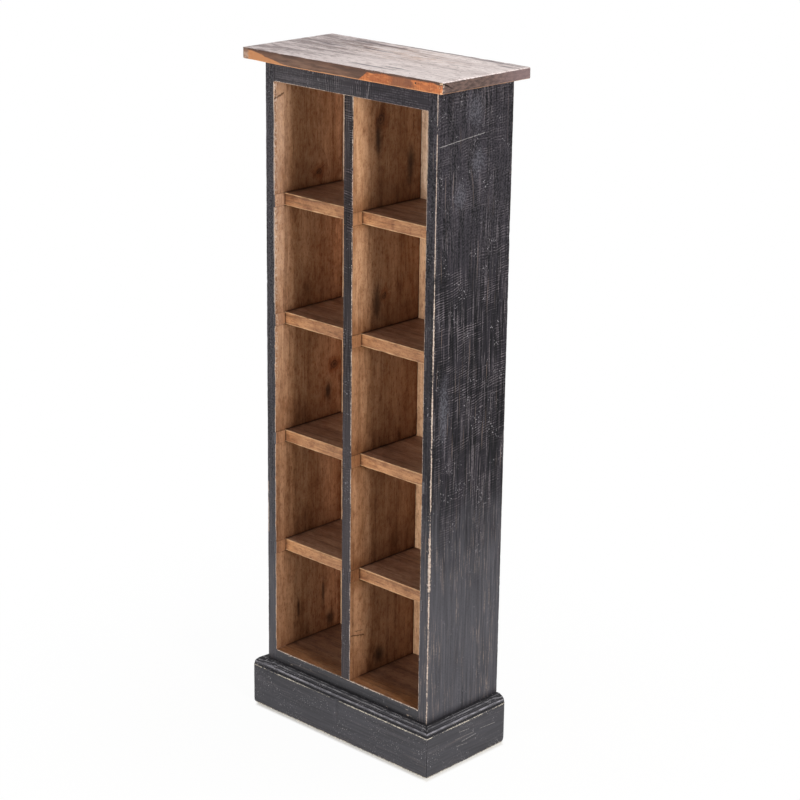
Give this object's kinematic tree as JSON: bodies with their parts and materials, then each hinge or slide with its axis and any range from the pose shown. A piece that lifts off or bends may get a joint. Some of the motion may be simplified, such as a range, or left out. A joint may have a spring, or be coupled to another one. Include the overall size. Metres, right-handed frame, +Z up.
{
  "type": "media storage tower",
  "caption": "Tall open storage tower in re-used boards: two columns of compartments between painted sides, moulded plinth, overhanging waney-edged top.",
  "frame": {"origin": "under the middle of the overall box, at floor level", "axes": "+Z up; -Y is the open front; +X to the right of someone facing the front"},
  "size_m": [0.36, 0.1686, 0.9467],
  "materials": {
    "painted_wood": "rubbed charcoal paint over old wood",
    "wall_wood": "bare brown wood, waxed",
    "shelf_wood": "bare brown wood, waxed",
    "back_wood": "bare pale wood",
    "top_wood": "worn pale limed wood",
    "hidden_wood": "sawn, unfinished",
    "screw_steel": "dull zinc"
  },
  "bodies": {
    "root": {"top_board": "top_wood", "sub_top": "wall_wood", "top_rail": "painted_wood", "centre_divider": "wall_wood", "floor_board": "wall_wood", "side_panel_left": "painted_wood", "shelf_left_1": "shelf_wood", "filler_left_1_side": "wall_wood", "filler_left_1_divider": "wall_wood", "shelf_left_2": "shelf_wood", "filler_left_2_side": "wall_wood", "filler_left_2_divider": "wall_wood", "shelf_left_3": "shelf_wood", "filler_left_3_side": "wall_wood", "filler_left_3_divider": "wall_wood", "shelf_left_4": "shelf_wood", "filler_left_4_side": "wall_wood", "filler_left_4_divider": "wall_wood", "side_panel_right": "painted_wood", "shelf_right_1": "shelf_wood", "filler_right_1_side": "wall_wood", "filler_right_1_divider": "wall_wood", "shelf_right_2": "shelf_wood", "filler_right_2_side": "wall_wood", "filler_right_2_divider": "wall_wood", "shelf_right_3": "shelf_wood", "filler_right_3_side": "wall_wood", "filler_right_3_divider": "wall_wood", "shelf_right_4": "shelf_wood", "filler_right_4_side": "wall_wood", "filler_right_4_divider": "wall_wood", "back_board_1": "back_wood", "back_board_2": "back_wood", "back_board_3": "back_wood", "plinth_front": "painted_wood", "plinth_left": "painted_wood", "plinth_right": "painted_wood", "base_rail_front": "hidden_wood", "corner_block_front_left": "hidden_wood", "corner_block_front_right": "hidden_wood", "base_rail_back": "hidden_wood", "corner_block_back_left": "hidden_wood", "corner_block_back_right": "hidden_wood", "top_screw_1": "screw_steel", "top_screw_2": "screw_steel", "top_screw_3": "screw_steel", "top_screw_4": "screw_steel", "back_screw_1": "screw_steel", "back_screw_2": "screw_steel", "back_screw_3": "screw_steel", "back_screw_4": "screw_steel", "back_screw_5": "screw_steel", "back_screw_6": "screw_steel"}
  },
  "joints": []
}
